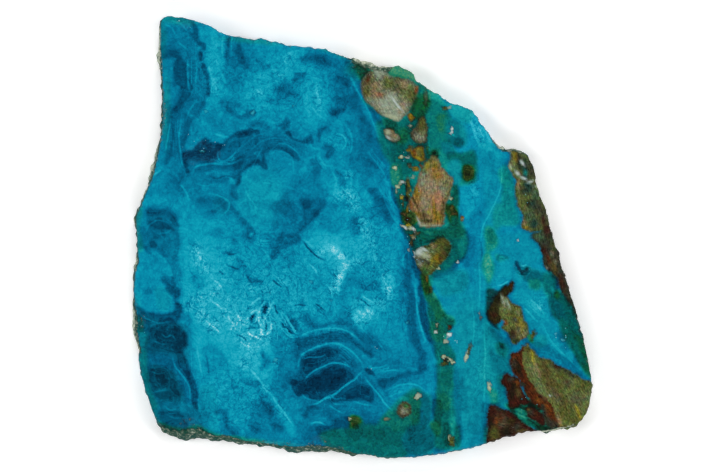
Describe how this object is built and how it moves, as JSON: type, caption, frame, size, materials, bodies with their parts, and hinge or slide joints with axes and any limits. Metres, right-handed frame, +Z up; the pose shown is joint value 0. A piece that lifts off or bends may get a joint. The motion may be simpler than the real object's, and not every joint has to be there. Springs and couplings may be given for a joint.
{
  "type": "chrysocolla specimen",
  "caption": "Polished slab of chrysocolla with broken rough sides and a flat sawn back, for display, lying face up.",
  "frame": {"origin": "centre of the slab's box at its sawn back, on the surface that it lies on", "axes": "+Z up out of the polished face, +X across the face along its longer side, +Y up the face"},
  "size_m": [0.1152, 0.1108, 0.007],
  "materials": {
    "polished_chrysocolla": "polished chrysocolla, glossy, cyan and teal with dark blue bands and brown host rock, rough on its broken sides"
  },
  "bodies": {
    "root": {"chrysocolla_slab": "polished_chrysocolla"}
  },
  "joints": []
}
